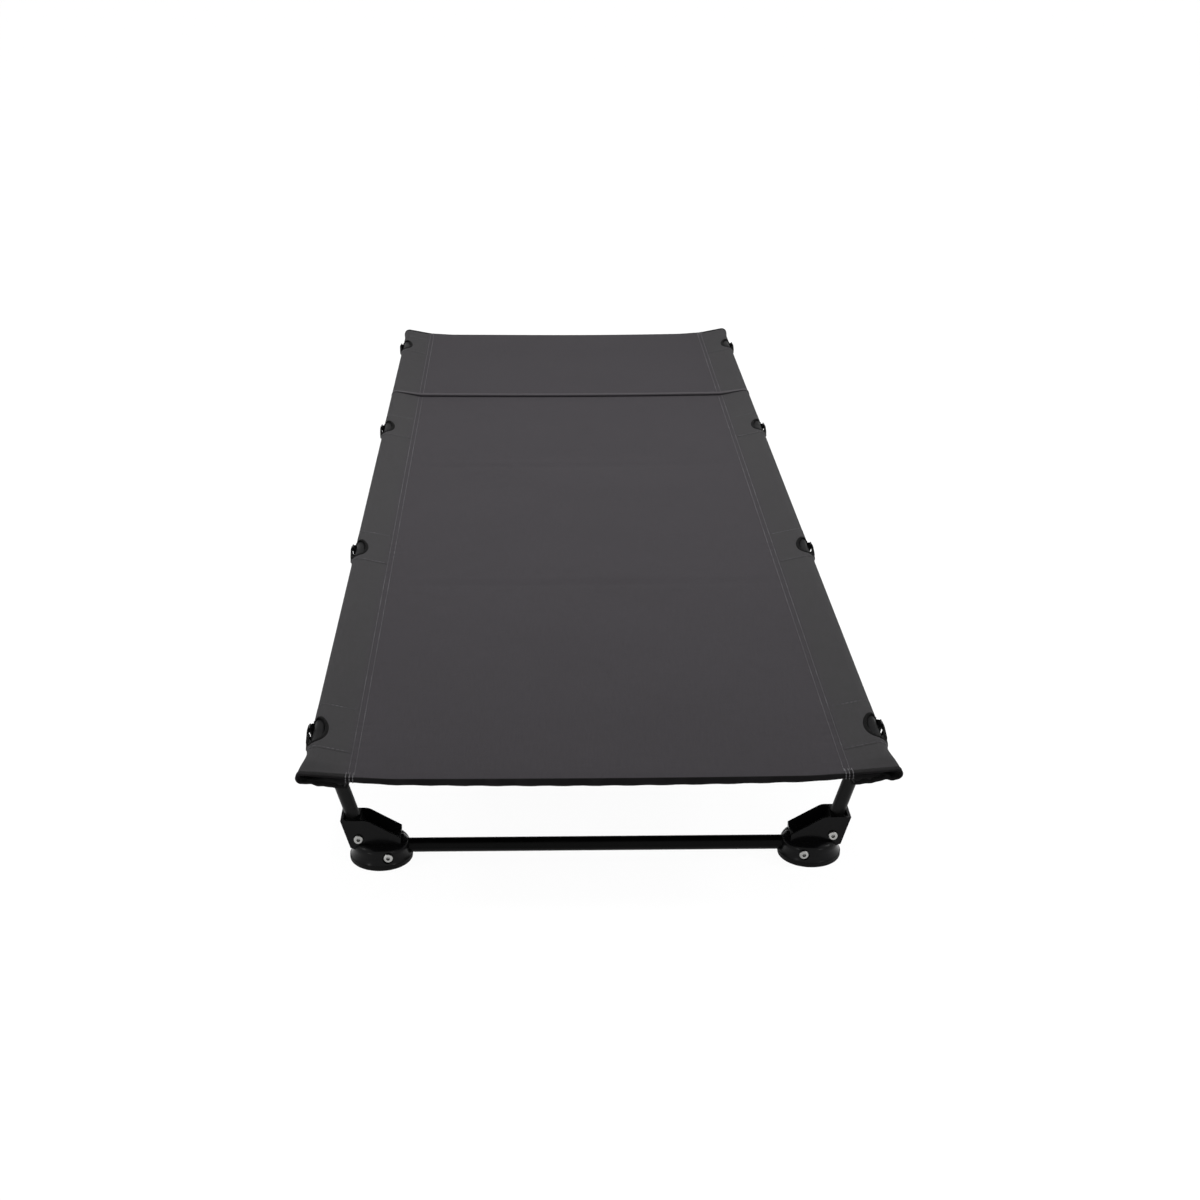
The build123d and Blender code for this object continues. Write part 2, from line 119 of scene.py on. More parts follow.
# Ends of the sleeves, drawn flat at the foot end and almost round at the head end
flare_length = 0.055
flare_swell = 0.0005  # by which the sleeve widens before it is drawn flat
mouth_length = 0.027
foot_mouth_radius = 0.0045
foot_mouth_flare = 0.0062
head_mouth_radius = 0.0083
head_mouth_flare = 0.0022
lip_wave = 0.0013
lip_wave_length = 0.0235
lip_ripple_length = 0.0113
lip_drop = 0.0020  # how far the lower lip hangs at the foot end, outside, inside and forwards
lip_drop_inside = 0.0085
lip_forward = 0.0025
lip_start = 0.3  # share of the way back under the rail from which the lip hangs fully
lip_sewn = 0.95  # share from which it rises to the stitch line
lip_inside = (0.2, 0.9)  # shares between which its drop goes from the outer to the inner one
flap_start = 0.4  # share from which the lower layer comes down to lie under the sheet

# How the sheet lies
sag = 0.0015
end_droop = 0.0019
droop_length = 0.035
droop_edge = 0.045  # from the stitch line to where the end hangs level
crease_places = (0.113, -0.392)  # fold lines across the sheet
crease_depth = 0.0011
crease_width = 0.007
crease_wander = 0.002
crease_ridge = 0.6  # height of the raised line beside a crease, as a share of its depth
crease_ridge_gap = 0.012
crease_ridge_width = 0.011
ripple_height = 0.0004
pucker_height = 0.00022  # along the stitch lines
pucker_pitch = 0.019
pucker_reach = 0.006

# Cross seam: its fold in section, from the front foot over the crest to the sheet behind
rib_run = 0.010
rib_section = np.array([
    (0, 0), (-0.0007, 0.0012), (-0.0014, 0.0025), (-0.0017, 0.0038), (-0.0014, 0.0049), (-0.0004, 0.0056),
    (0.0010, 0.0056), (0.0025, 0.0048), (0.0042, 0.0032), (0.0060, 0.0016), (0.0080, 0.0005), (0.0100, 0),
])
rib_on_sleeve = 0.4  # share of its height that is left on the sleeves
rib_slope = 0.75  # share of the sleeve's upper layer over which it falls to that
rib_clear = 0.002  # past the rib, free of other rows and of stitches

# Tapes
tape_half = 0.0011  # half the thickness, as strap_half
tape_width = 0.0028
tape_bevel = 0.0004
tape_bend_points = 7
tape_thinning = (0.9, 0.55)  # before and at the sewn edge, as shares of the half thickness
mouth_tape_width = 0.0065
end_strip_columns = 61
end_strip_depth = 0.0024
end_strip_sides = 0.0056
end_strip_middle = 0.0086
end_strip_swell = 0.7  # how soon it deepens from the sides: 1 is a parabola
end_strip_overlap = 0.004  # past the stitch lines
end_strip_rise = 0.0009  # above the middle of the cloth
end_strip_corner = 0.0009
corner_points = 4
end_strip_wave = 0.00035
end_strip_waves = 180  # radians per metre

# Stitches: rings along one stitch, how thick the thread is there, and how far it rises, in thread radii
stitch_pitch = 0.0050
stitch_length = 0.0041
thread_radius = 0.00036
stitch_shares = np.array([0, 0.22, 0.78, 1])
stitch_thickness = np.array([0.45, 1, 1, 0.45])
stitch_lift = np.array([-0.5, 0.55, 0.55, -0.5])

# Seams and patches
seam_lines = (stitch_x + 0.0022, stitch_x - 0.0040)  # a row on the sleeve and a row on the sheet
seam_inset = 0.004  # from the bed's ends
seam_points = 700
seam_gap_points = 3  # a stretch of seam with no more points than this has no stitches
seam_under = 0.0006  # under the sleeve, the outer row lies this much lower than the inner one
patch_half = 0.056
patch_thick = 0.0003
patch_columns = 14
patch_foot_rows = 4  # from the patch's foot end to the notch
patch_head_rows = 9  # from the notch's last row, which counts, to the patch's head end
patch_start = 0.05  # share of the sleeve's upper layer
patch_trim = 0.985  # share of the way to the notch's edge
patch_seam_place = 0.053
patch_seam_shares = (0.07, 0.97)
patch_seam_points = 60

# Tacks at the bed's corners
tack_rows = 3
tack_start = -0.0030  # first row, from the stitch line
tack_gap = 0.0036
tack_length = 0.014
tack_edge = 0.0008  # from the bed's end to where they turn down
tack_climb = 0.002  # run in which they rise on to the tape
tack_turn = 0.0012
tack_drop = 0.0055
tack_sunk = 0.3  # share of the cloth's thickness
tack_pitch = 0.0027
tack_stitch = 0.0025
tack_radius = 0.0006
tack_points = 24  # along the top
tack_turn_points = 7  # with the last point of the stretch before, as the next
tack_drop_points = 9


def ramp(value, low, high):
    """0 up to low, 1 from high on, and smooth between."""
    share = np.clip((value - low) / (high - low), 0, 1)
    return share * share * (3 - 2 * share)


def swell(offset, width):
    """1 on a line, fading past its width."""
    return np.exp(-((offset / width) ** 2))


def arch(offset, half):
    """1 in the middle of a half ellipse and 0 at its ends and past them."""
    return np.sqrt(np.clip(1 - (offset / half) ** 2, 0, None))


def unit(vectors):
    """The same directions at length 1."""
    return vectors / np.maximum(np.linalg.norm(vectors, axis=-1, keepdims=True), 1e-12)


def length_along(points):
    """Length along a line of points, from its first."""
    return np.concatenate([[0], np.cumsum(np.linalg.norm(np.diff(points, axis=0), axis=1))])


def from_leg(y):
    """Place along the bed from the nearest leg set, positive towards the head end."""
    gaps = np.stack([y - place for place in leg_places])
    return np.take_along_axis(gaps, np.argmin(np.abs(gaps), axis=0)[None], axis=0)[0]


# The sleeve's section: t is 0 at the stitch line, 1 at the outer edge and 2 back at the stitch line, below
sleeve_taper = math.asin(sleeve_radius / (rail_x - stitch_x))
sleeve_straight = (rail_x - stitch_x) * math.cos(sleeve_taper)
sleeve_half_run = sleeve_straight + sleeve_radius * (math.pi / 2 + sleeve_taper)


def teardrop(t, middle, radius):
    """x, and z above the rail's axis, round a section that is drawn to a point at the stitch line."""
    taper = np.arcsin(radius / (middle - stitch_x))
    straight = (middle - stitch_x) * np.cos(taper)
    along = (1 - np.abs(t - 1)) * (straight + radius * (math.pi / 2 + taper))
    turn = np.clip(along - straight, 0, None) / radius - taper
    on_arc = along > straight
    x = np.where(on_arc, middle + radius * np.sin(turn), stitch_x + along * np.cos(taper))
    z = np.where(on_arc, radius * np.cos(turn), along * np.sin(taper))
    return x, np.where(t <= 1, z, -z)


def upper_t(x):
    """The t at which the sleeve's upper layer is x across the bed."""
    turn = np.arcsin(np.clip((x - rail_x) / sleeve_radius, -1, 1)) + sleeve_taper
    on_slope = (x - stitch_x) / math.cos(sleeve_taper)
    along = np.where(turn > 0, sleeve_straight + sleeve_radius * turn, on_slope)
    return along / sleeve_half_run


def notch_edge_above(y):
    """The t of the upper layer's edge: the notch's where there is one, and else the sleeve's outer edge."""
    return upper_t(sleeve_edge - notch_depth * arch(from_leg(y) + notch_offset, notch_half))


def strip_edge(y):
    """The t of the strip's top."""
    return 1 - strip_rise * arch(from_leg(y) + notch_offset, notch_half) / sleeve_half_run


def notch_edge_below(y):
    """The t of the lower layer's edge, round the strip's free end and the slot."""
    gap = from_leg(y)
    slot = slot_run * np.sqrt(np.clip(1 - ((gap - slot_offset) / slot_half) ** 4, 0, None))
    near_end = np.clip(1 - (slot_front - gap) / strip_corner, 0, 1)
    turned = np.where(gap <= slot_front, strip_corner * (1 - np.sqrt(1 - near_end**2)), 0)
    return strip_edge(y) + (slot + turned) / sleeve_half_run


def bulge_share(gap):
    """How far the strip stands out along a notch, as a share of its most."""
    lead = notch_front - strip_lead
    start = ramp(gap, lead, lead + strip_lead_run)
    return start * (strap_first + (1 - strap_first) * np.clip((gap - notch_front) / strap_run, 0, 1))


def drape(x, y):
    """How far the stretched cloth lies off its plane: sag, drooping ends, fold lines, ripples and puckers.

    The bare numbers in its waves are radians per metre, phases and weights.
    """
    from_stitch = np.abs(x) - stitch_x
    from_end = bed_end - np.abs(y)
    inside = 1 - np.clip(np.abs(x) / stitch_x, 0, 1) ** 2
    lie = -sag * inside
    lie = lie - end_droop * ramp(-from_stitch, 0, droop_edge) * np.exp(-from_end / droop_length)
    for place in crease_places:
        line = y - place - crease_wander * np.sin(9 * x)
        ridge = crease_ridge * swell(line - crease_ridge_gap, crease_ridge_width)
        lie = lie - crease_depth * (swell(line, crease_width) - ridge) * np.sqrt(inside)
    ripple = np.sin(31 * y + 5 * x) * np.sin(6.5 * x + 1.3) + 0.6 * np.sin(17 * y - 11 * x + 2.1)
    lie = lie + ripple_height * ripple * np.sqrt(inside)
    pucker = np.sin(2 * math.pi * y / pucker_pitch + 1.7 * np.sin(23 * y)) * swell(from_stitch, pucker_reach)
    return lie + pucker_height * pucker


def sleeve_point(side, t, y):
    """A point of the cloth round the left (-1) or right (1) rail."""
    t, y = np.broadcast_arrays(np.asarray(t, float), np.asarray(y, float))
    at_foot = y < 0
    flare = ramp(np.abs(y), bed_end - flare_length, bed_end)
    flat = ramp(np.abs(y), bed_end - mouth_length, bed_end)
    mouth_radius = np.where(at_foot, foot_mouth_radius, head_mouth_radius)
    radius = sleeve_radius + (mouth_radius - sleeve_radius) * flat + flare_swell * flare * (1 - flat)
    outer = sleeve_edge + np.where(at_foot, foot_mouth_flare, head_mouth_flare) * flare
    x, z = teardrop(t, outer - radius, radius)
    below = np.clip(t - 1, 0, 1)
    free = flat * ramp(below, 0, lip_start)
    wave = np.sin(2 * math.pi * x / lip_wave_length + 0.8 * side)
    wave = wave + 0.5 * np.sin(2 * math.pi * x / lip_ripple_length + 2.0)
    z = z - free * lip_wave * wave * (1 - below)
    hang = free * (1 - ramp(below, lip_sewn, 1)) * at_foot
    z = z - hang * (lip_drop + (lip_drop_inside - lip_drop) * ramp(below, *lip_inside))
    z = z - flap_gap * ramp(below, flap_start, 1)
    gap = from_leg(y)
    strip = bulge_share(gap) * (1 - ramp(gap, slot_front, slot_front + strip_fade))
    x = x + strip_bulge * strip * swell((t - strip_edge(y)) * sleeve_half_run, strip_reach)
    return np.stack([side * x, y - lip_forward * hang * below, rail_z + z + drape(x, y)], axis=-1)


def cloth_normal(side, t, y):
    """The outward normal of a sleeve's cloth."""
    step = 0.0004
    across = sleeve_point(side, t + step, y) - sleeve_point(side, t - step, y)
    along = sleeve_point(side, t, y + step) - sleeve_point(side, t, y - step)
    return unit(-side * np.cross(along, across))


def sheet_point(x, y):
    """A point of the single layer between the stitch lines."""
    x, y = np.broadcast_arrays(np.asarray(x, float), np.asarray(y, float))
    return np.stack([x, y, rail_z + drape(x, y)], axis=-1)


def upward(points):
    """A normal straight up at each point."""
    return np.tile(np.array([0.0, 0.0, 1.0]), (len(points), 1))


def notch_rows(place):
    """Rows along the bed through one notch, close together where its edges turn."""
    wide = notch_half * np.cos(np.linspace(0, math.pi, notch_row_count)) - notch_offset
    narrow = slot_half * np.cos(np.linspace(0, math.pi, slot_row_count)) + slot_offset
    corner = slot_front - strip_corner * (1 - np.sin(np.linspace(0, math.pi / 2, corner_row_count)[:-1]))
    outside = (wide < slot_front - strip_corner - weld_gap) | (wide > slot_back + weld_gap)
    return place + np.sort(np.concatenate([wide[outside], corner, narrow]))


def bed_rows(start, end):
    """Rows along the bed from start to end: even, closer at the bed's ends, and those of each notch."""
    marks = [start, end]
    for y in (-bed_end + end_rows, bed_end - end_rows):
        if start < y < end:
            marks.append(y)
    for place in leg_places:
        if start < place < end:
            marks += [place - notch_offset - notch_half, place - notch_offset + notch_half]
    marks.sort()
    rows = []
    for low, high in zip(marks, marks[1:]):
        middle = (low + high) / 2
        nearest = min(leg_places, key=lambda place: abs(place - middle))
        if abs(nearest - notch_offset - middle) < notch_half:
            rows.append(notch_rows(nearest))
            continue
        step = end_row_step if abs(middle) > bed_end - end_rows else row_step
        rows.append(np.linspace(low, high, max(2, math.ceil((high - low) / step) + 1)))
    return np.unique(np.round(np.concatenate(rows), 7))


def rib_rows(start, ys):
    """Rows that begin with those of the cross seam's fold, and how far each is moved along and up."""
    arc = length_along(rib_section)
    rib_ys = start + rib_run * arc / arc[-1]
    ys = np.concatenate([rib_ys, ys[ys > start + rib_run + rib_clear]])
    fold = np.zeros((len(ys), 2))
    fold[:len(rib_ys), 0] = start + rib_section[:, 0] - rib_ys
    fold[:len(rib_ys), 1] = rib_section[:, 1]
    return ys, fold


# Meshes

def new_piece(name, verts, faces):
    """A mesh object from points and faces, in the scene."""
    mesh = bpy.data.meshes.new(name)
    mesh.from_pydata([tuple(v) for v in verts], [], [tuple(f) for f in faces])
    mesh.validate()
    mesh.shade_smooth()
    mesh.set_sharp_from_angle(angle=smooth_angle)
    piece = bpy.data.objects.new(name, mesh)
    bpy.context.scene.collection.objects.link(piece)
    return piece


def settle(piece):
    """Replace a piece's mesh by the one that its modifiers give."""
    bpy.context.view_layer.update()
    graph = bpy.context.evaluated_depsgraph_get()
    mesh = bpy.data.meshes.new_from_object(
        piece.evaluated_get(graph), preserve_all_data_layers=True, depsgraph=graph
    )
    piece.modifiers.clear()
    piece.data = mesh
    mesh.shade_smooth()
    mesh.set_sharp_from_angle(angle=smooth_angle)
    return piece


def facing_out(piece):
    """Turn every face of a closed mesh outwards."""
    work = bmesh.new()
    work.from_mesh(piece.data)
    bmesh.ops.recalc_face_normals(work, faces=work.faces)
    work.to_mesh(piece.data)
    work.free()
    return piece


def lay_flat(piece, runs):
    """Store where each point lies on the cloth as it was cut, for the weave."""
    layer = piece.data.uv_layers.new(name="cloth")
    for loop in piece.data.loops:
        layer.data[loop.index].uv = runs[loop.vertex_index]


def grid_faces(rows, columns, first=0, around=False, flip=False):
    """Quads of a grid of points that is stored row by row; around joins each row's ends."""
    last = columns if around else columns - 1
    quads = []
    for r in range(rows - 1):
        for c in range(last):
            a = first + r * columns + c
            b = first + r * columns + (c + 1) % columns
            quad = (a, b, b + columns, a + columns)
            quads.append(quad[::-1] if flip else quad)
    return quads


def tube_faces(rings, points, first=0):
    """Quads round a tube of rings, and a face on each of its ends."""
    last = first + (rings - 1) * points
    caps = [tuple(range(first, first + points))[::-1], tuple(range(last, last + points))]
    return grid_faces(rings, points, first, around=True) + caps


def joined(parts):
    """One list of points and faces from several."""
    verts, faces = [], []
    for part_verts, part_faces in parts:
        first = len(verts)
        verts += [tuple(v) for v in part_verts]
        faces += [tuple(i + first for i in face) for face in part_faces]
    return verts, faces


def swept(points, inward, normal, section, closed):
    """Points and faces of a flat section carried along a path."""
    across = inward[:, None] * section[None, :, :1]
    rings = points[:, None] + across + normal[:, None] * section[None, :, 1:]
    count, ring = rings.shape[:2]
    if closed:
        faces = grid_faces(count + 1, ring, around=True)
        faces = [tuple(i % (count * ring) for i in face) for face in faces]
    else:
        faces = tube_faces(count, ring)
    return rings.reshape(-1, 3), faces


# Sewn pieces

def cloth_panel(name, start, end, rib=False):
    """One sewn panel: the sheet, both sleeves and their turned-in edges, with the rib of the cross seam."""
    ys = bed_rows(start, end)
    fold = np.zeros((len(ys), 2))
    if rib:
        ys, fold = rib_rows(start, ys)
    y = ys[:, None]

    def lifted(points, share):
        points[..., 1] += fold[:, :1]
        points[..., 2] += fold[:, 1:] * share
        return points

    above = notch_edge_above(y) * upper_shares
    below_start = notch_edge_below(y)
    below = below_start + (2 - below_start) * lower_shares
    rib_share = rib_on_sleeve + (1 - rib_on_sleeve) * np.clip(1 - above / rib_slope, 0, 1)
    left_top, right_top = [lifted(sleeve_point(side, above, y), rib_share) for _, side in sides]
    top_run = stitch_x + above * sleeve_half_run
    sheet_xs = np.linspace(-stitch_x, stitch_x, sheet_columns + 1)[1:-1]
    sheet = lifted(sheet_point(sheet_xs, y), 1.0)
    sheet_run = np.broadcast_to(sheet_xs, sheet.shape[:2])
    upper = np.concatenate([left_top[:, ::-1], sheet, right_top], axis=1)
    upper_run = np.concatenate([-top_run[:, ::-1], sheet_run, top_run], axis=1)
    grids = [(upper, upper_run, False)]
    for _, side in sides:
        lower = sleeve_point(side, below, y)
        turned = sheet_point(side * (stitch_x - flap_width * flap_shares), y)
        turned[..., 2] -= flap_gap
        turned_run = np.broadcast_to(2 * sleeve_half_run + flap_width * flap_shares, turned.shape[:2])
        run = stitch_x + np.concatenate([below * sleeve_half_run, turned_run], axis=1)
        grids.append((np.concatenate([lower, turned], axis=1), side * run, side < 0))

    verts, runs, faces = [], [], []
    for points, run, flip in grids:
        faces += grid_faces(*points.shape[:2], first=len(verts), flip=flip)
        verts += [tuple(p) for p in points.reshape(-1, 3)]
        runs += list(zip(run.ravel(), np.broadcast_to(y, run.shape).ravel()))
    piece = new_piece(name, verts, faces)
    lay_flat(piece, runs)
    weld = piece.modifiers.new("weld", "WELD")
    weld.merge_threshold = weld_gap
    thicken = piece.modifiers.new("thicken", "SOLIDIFY")
    thicken.thickness = cloth_thick
    thicken.offset = 0
    thicken.use_even_offset = False
    return settle(piece)


def tape_section(width, half):
    """Tape folded over an edge: round at the fold, thinned at its sewn side."""
    bend = np.linspace(-math.pi / 2, math.pi / 2, tape_bend_points)
    fold = np.stack([-half * np.cos(bend), half * np.sin(bend)], axis=1)
    thick, thin = [half * share for share in tape_thinning]
    rim = width + tape_bevel
    sewn_side = np.array([(width, thick), (rim, thin), (rim, -thin), (width, -thick)])
    return np.concatenate([fold, sewn_side])


def notch_tape(side, place):
    """Tape round one notch and its slot, along the cut edge of both layers."""
    ys = notch_rows(place)
    loop_t = np.concatenate([notch_edge_above(ys), notch_edge_below(ys)[-2:0:-1]])
    loop_y = np.concatenate([ys, ys[-2:0:-1]])
    points = sleeve_point(side, loop_t, loop_y)
    normal = cloth_normal(side, loop_t, loop_y)
    tangent = unit(np.roll(points, -1, axis=0) - np.roll(points, 1, axis=0))
    inward = unit(np.cross(normal, tangent))
    if inward[len(ys) // 2, 0] * side > 0:
        inward = -inward
    return swept(points, inward, normal, tape_section(tape_width, tape_half), True)


def notch_strap(side, place):
    """Tape that goes on from the strip of one notch, outside the clip."""
    gap = np.linspace(strap_start, strap_end, strap_points)
    x = sleeve_edge + strap_bulge * bulge_share(gap) * (1 - ramp(gap, strap_turn, strap_end))
    y = place + gap
    z = rail_z + strip_rise * arch(gap + notch_offset, notch_half) + drape(x, y)
    points = np.stack([side * x, y, z], axis=-1)
    outward = unit(np.cross(np.gradient(points, axis=0), side * upward(points)))
    return swept(points, -upward(points), outward, tape_section(strap_height, strap_half), False)


def mouth_tape(side, end):
    """Tape round the end of one sleeve, with points closer together at its outer edge."""
    t = np.concatenate([
        np.linspace(0.02, 0.8, 22, endpoint=False),
        np.linspace(0.8, 1.2, 21),
        np.linspace(1.2, 1.98, 23)[1:],
    ])
    y = end * (bed_end - end_inset) + 0 * t
    points = sleeve_point(side, t, y)
    normal = cloth_normal(side, t, y)
    tangent = unit(np.gradient(points, axis=0))
    inward = unit(np.cross(normal, tangent))
    if inward[len(t) // 2, 1] * end > 0:
        inward = -inward
    return swept(points, inward, normal, tape_section(mouth_tape_width, tape_half), False)


def end_strip(end):
    """Tape that hangs from the end of the sheet, deepest in the middle."""
    reach = stitch_x + end_strip_overlap
    xs = np.linspace(-reach, reach, end_strip_columns)
    inside = np.clip(1 - (xs / stitch_x) ** 2, 0, 1)
    depths = end_strip_sides + (end_strip_middle - end_strip_sides) * inside**end_strip_swell
    tops = rail_z + drape(xs, end * bed_end + 0 * xs) + end_strip_rise
    half = end_strip_depth / 2
    rings = []
    for x, top, depth in zip(xs, tops, depths):
        ring = []
        wave = end_strip_wave * math.sin(end_strip_waves * x + end)
        for quarter, (sy, sz) in enumerate(((1, 1), (-1, 1), (-1, -1), (1, -1))):
            y = end * (bed_end - half) + sy * (half - end_strip_corner)
            z = top - depth / 2 + sz * (depth / 2 - end_strip_corner) + (wave if sz < 0 else 0)
            for turn in np.linspace(0, math.pi / 2, corner_points):
                angle = quarter * math.pi / 2 + turn
                along = end_strip_corner * math.cos(angle)
                ring.append((x, y + along, z + end_strip_corner * math.sin(angle)))
        rings.append(ring)
    return np.array(rings).reshape(-1, 3), tube_faces(len(rings), len(rings[0]))


def stitches(points, normals, pitch=stitch_pitch, length=stitch_length, radius=thread_radius):
    """Single stitches along a line on the cloth, each a short thread that dips in at its ends."""
    run = length_along(points)
    starts = np.arange(pitch / 2, run[-1] - length, pitch)
    places = starts[:, None] + stitch_shares * length
    at = np.stack([np.interp(places, run, points[:, i]) for i in range(3)], axis=-1)
    up = unit(np.stack([np.interp(places, run, normals[:, i]) for i in range(3)], axis=-1))
    ahead = unit(at[:, -1:] - at[:, :1])
    beside = unit(np.cross(ahead, up))
    thick = radius * stitch_thickness[:, None]
    middle = at + up * (cloth_thick / 2 + radius * stitch_lift[:, None])
    around = [beside * thick, up * thick, -beside * thick, -up * thick]
    threads = np.stack([middle + step for step in around], axis=2)
    rings, ring = threads.shape[1:3]
    faces = []
    for k in range(len(starts)):
        faces += tube_faces(rings, ring, k * rings * ring)
    return threads.reshape(-1, 3), faces


def sleeve_seam(side, under):
    """Two rows of stitches along a sleeve, above or below."""
    parts = []
    ys = np.linspace(-bed_end + seam_inset, bed_end - seam_inset, seam_points)
    for x in seam_lines:
        on_sleeve = x > stitch_x
        if under:
            points = sheet_point(side * np.minimum(x, stitch_x), ys)
            points[:, 2] -= flap_gap + (seam_under if on_sleeve else 0)
            normals = -upward(points)
        elif on_sleeve:
            t = (x - stitch_x) / math.cos(sleeve_taper) / sleeve_half_run
            points = sleeve_point(side, t, ys)
            normals = cloth_normal(side, t, ys)
        else:
            points = sheet_point(side * x, ys)
            normals = upward(points)
        on_rib = np.abs(points[:, 1] - seam_y - rib_run / 2) < rib_run / 2 + rib_clear
        for stretch in np.split(np.arange(len(ys)), np.where(np.diff(on_rib.astype(int)) != 0)[0] + 1):
            if len(stretch) > seam_gap_points and not on_rib[stretch[0]]:
                parts.append(stitches(points[stretch], normals[stretch]))
    return parts


def patch_seam(side, place):
    """Stitches across the sleeve at both ends of a notch's patch."""
    parts = []
    for end in ends:
        t = np.linspace(*patch_seam_shares, patch_seam_points)
        y = place + end * patch_seam_place + 0 * t
        normal = cloth_normal(side, t, y)
        parts.append(stitches(sleeve_point(side, t, y) + patch_thick * normal, normal))
    return parts


def notch_patch(side, place):
    """A second layer of cloth on top of the sleeve, round one notch, and its place on the cut cloth."""
    inner = notch_rows(place)
    ys = np.concatenate([
        np.linspace(place - patch_half, inner[0], patch_foot_rows, endpoint=False),
        inner,
        np.linspace(inner[-1], place + patch_half, patch_head_rows)[1:],
    ])[:, None]
    t = patch_start + (notch_edge_above(ys) * patch_trim - patch_start) * np.linspace(0, 1, patch_columns)
    normal = cloth_normal(side, t, ys)
    points = sleeve_point(side, t, ys) + normal * cloth_thick / 2
    lifted = points + normal * patch_thick
    rows, columns = t.shape
    size = rows * columns
    faces = grid_faces(rows, columns) + grid_faces(rows, columns, size, flip=True)
    numbers = np.arange(size).reshape(rows, columns)
    edges = [numbers[0], numbers[1:, -1], numbers[-1, -2::-1], numbers[-2:0:-1, 0]]
    rim = np.concatenate(edges).tolist()
    for a, b in zip(rim, rim[1:] + rim[:1]):
        faces.append((a, b, b + size, a + size))
    run = side * (stitch_x + t * sleeve_half_run)
    runs = np.stack([run, np.broadcast_to(ys, run.shape)], axis=-1).reshape(-1, 2)
    verts = np.concatenate([points.reshape(-1, 3), lifted.reshape(-1, 3)])
    return (verts, faces), np.concatenate([runs, runs])


def corner_tacks(side, end):
    """Rows of heavy thread that end the sleeve's seam at a corner of the bed and run down over its tape."""
    parts = []
    along = np.linspace(bed_end - tack_length, bed_end - tack_edge, tack_points)
    tape_edge = bed_end - mouth_tape_width
    turn = np.linspace(0, math.pi / 2, tack_turn_points)[1:]
    bend = np.stack([0 * turn, end * np.sin(turn), np.cos(turn)], axis=1)
    drops = np.linspace(0, tack_drop, tack_drop_points)[1:]
    for k in range(tack_rows):
        x = stitch_x + tack_start + k * tack_gap
        t = max(x - stitch_x, 0) / sleeve_half_run
        top = sleeve_point(side, t, end * along) if t > 0 else sheet_point(side * x, end * along)
        top[:, 2] += tape_half * ramp(along, tape_edge - tack_climb, tape_edge)
        over = top[-1] + tack_turn * (bend - upward(bend))
        down = over[-1] - drops[:, None] * upward(drops)
        outward = np.tile(np.array([0, end, 0]), (len(down), 1))
        normals = np.concatenate([upward(top), bend, outward])
        points = np.concatenate([top, over, down]) - normals * cloth_thick * tack_sunk
        parts.append(stitches(points, normals, tack_pitch, tack_stitch, tack_radius))
    return parts


# Shader nodes

def colour(red, green, blue):
    """A written 8-bit screen colour, as shader values."""
    def linear(value):
        value = value / 255
        return value / 12.92 if value <= 0.04045 else ((value + 0.055) / 1.055) ** 2.4

    return (linear(red), linear(green), linear(blue), 1)


def scaled(shade, share):
    """A written colour made darker or paler, as shader values."""
    return colour(*[value * share for value in shade])


def group_with(name, inputs, outputs):
    """An empty shader node group with named sockets; inputs carry their defaults."""
    tree = bpy.data.node_groups.new(name, "ShaderNodeTree")
    for label, value in inputs:
        socket = tree.interface.new_socket(label, in_out="INPUT", socket_type="NodeSocketFloat")
        socket.default_value = value
    for label in outputs:
        tree.interface.new_socket(label, in_out="OUTPUT", socket_type="NodeSocketFloat")
    return tree, tree.nodes.new("NodeGroupInput"), tree.nodes.new("NodeGroupOutput")


class Wiring:
    """Adds nodes to one tree and links them."""

    def __init__(self, tree):
        self.tree = tree

    def put(self, kind, **settings):
        node = self.tree.nodes.new(kind)
        for key, value in settings.items():
            setattr(node, key, value)
        return node

    def feed(self, socket, value):
        if isinstance(value, bpy.types.NodeSocket):
            self.tree.links.new(value, socket)
        else:
            socket.default_value = value

    def math(self, operation, a, b=0.5):
        node = self.put("ShaderNodeMath", operation=operation)
        self.feed(node.inputs[0], a)
        self.feed(node.inputs[1], b)
        return node.outputs[0]

    def wave(self, value):
        """Even ridges, from 0 to 1, along a value in radians."""
        return self.math("ABSOLUTE", self.math("SINE", value))

    def noise(self, place, scale, detail=2.0, rough=0.5):
        node = self.put("ShaderNodeTexNoise")
        self.feed(node.inputs["Vector"], place)
        self.feed(node.inputs["Scale"], scale)
        node.inputs["Detail"].default_value = detail
        node.inputs["Roughness"].default_value = rough
        return node.outputs[0]

    def between(self, value, low, high, to_low=0.0, to_high=1.0):
        node = self.put("ShaderNodeMapRange", interpolation_type="SMOOTHSTEP")
        self.feed(node.inputs["Value"], value)
        self.feed(node.inputs["From Min"], low)
        self.feed(node.inputs["From Max"], high)
        self.feed(node.inputs["To Min"], to_low)
        self.feed(node.inputs["To Max"], to_high)
        return node.outputs["Result"]

    def mixed(self, share, first, second):
        node = self.put("ShaderNodeMix", data_type="RGBA")
        self.feed(node.inputs[0], share)
        self.feed(node.inputs[6], first)
        self.feed(node.inputs[7], second)
        return node.outputs[2]

    def stretched(self, place, scale):
        node = self.put("ShaderNodeMapping")
        self.feed(node.inputs["Vector"], place)
        node.inputs["Scale"].default_value = scale
        return node.outputs[0]

    def on_cloth(self):
        return self.put("ShaderNodeUVMap", uv_map="cloth").outputs[0]

    def in_space(self):
        return self.put("ShaderNodeTexCoord").outputs["Object"]

    def axes(self, place):
        node = self.put("ShaderNodeSeparateXYZ")
        self.feed(node.inputs[0], place)
        return node.outputs


